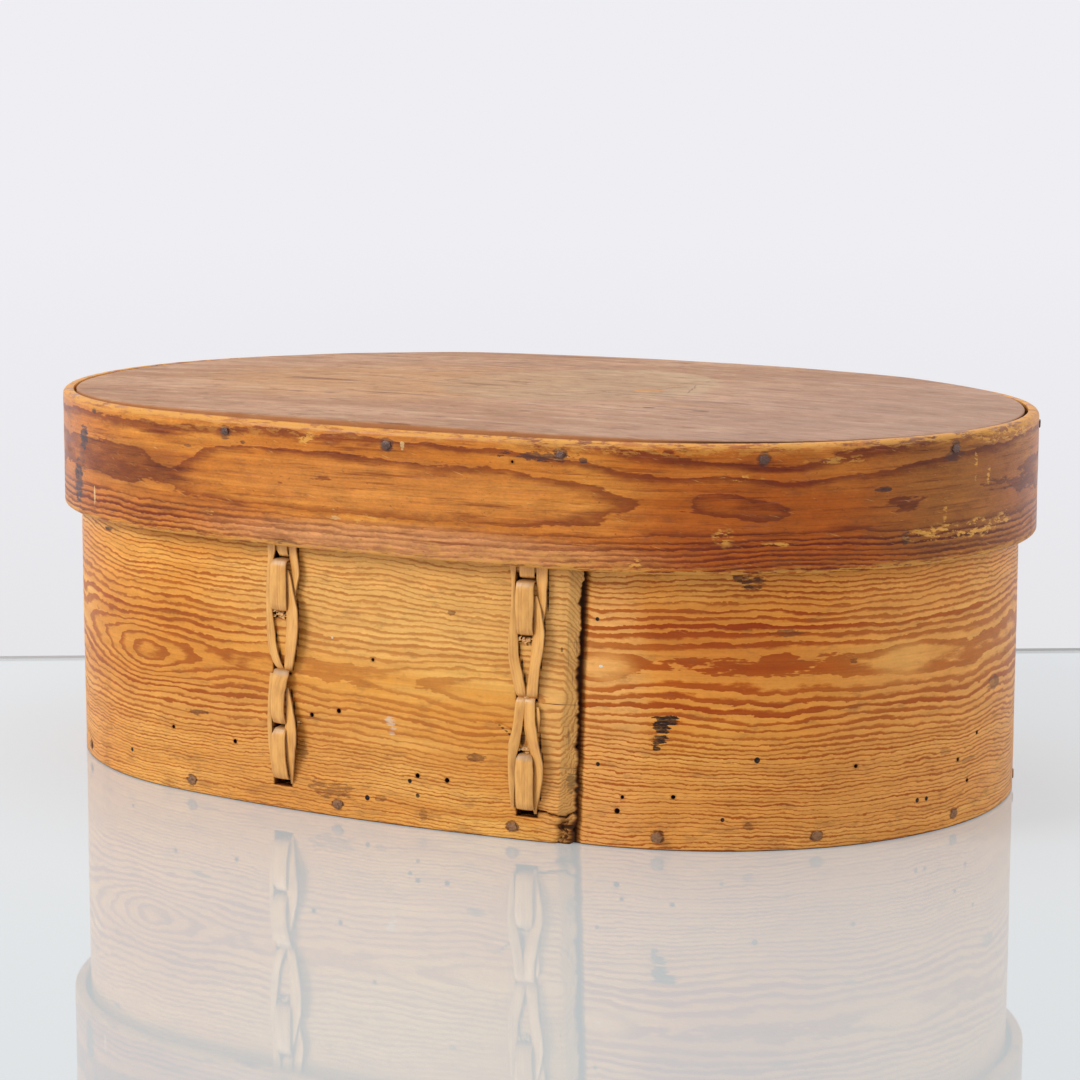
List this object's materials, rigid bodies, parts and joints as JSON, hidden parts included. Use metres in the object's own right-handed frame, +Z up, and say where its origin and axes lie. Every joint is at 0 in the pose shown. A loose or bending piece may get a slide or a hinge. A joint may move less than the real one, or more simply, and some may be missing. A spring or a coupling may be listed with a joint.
{
  "type": "bentwood box",
  "caption": "Oval box of bent pine strip, lapped and laced with split root, with an inset base board and a deep lift-off lid with an inset board.",
  "frame": {"origin": "middle of the underside, on the surface that the box stands on", "axes": "+X along the oval, +Y to the back, away from the lapped and laced front, +Z up"},
  "size_m": [0.43, 0.2916, 0.1589],
  "materials": {
    "base_pine": "bare planed pine, darkened with age",
    "side_pine": "golden varnished pine with brown growth lines and worm holes",
    "light_peg": "whittled light wood, end grain showing",
    "split_root": "split root, smooth and slightly shiny, fibres along its length",
    "lid_board_wood": "worn grey-brown wood, matt, straight grain with a pale round stain",
    "lid_pine": "red-brown glossy varnish over broad dark grain, edges worn pale",
    "dark_peg": "whittled dark wood"
  },
  "bodies": {
    "box": {"base_board": "base_pine", "side_band": "side_pine", "base_pegs": "light_peg", "left_lacing_strap": "split_root", "left_lacing_strands": "split_root", "right_lacing_strap": "split_root", "right_lacing_strands": "split_root"},
    "lid": {"lid_board": "lid_board_wood", "lid_band": "lid_pine", "lid_pegs": "dark_peg", "lid_lacing_strap": "split_root"}
  },
  "joints": [
    {"name": "lid_lift", "type": "slide", "parent": "box", "child": "lid", "axis": [0, 0, 1], "range_m": [0, 0.06]}
  ]
}
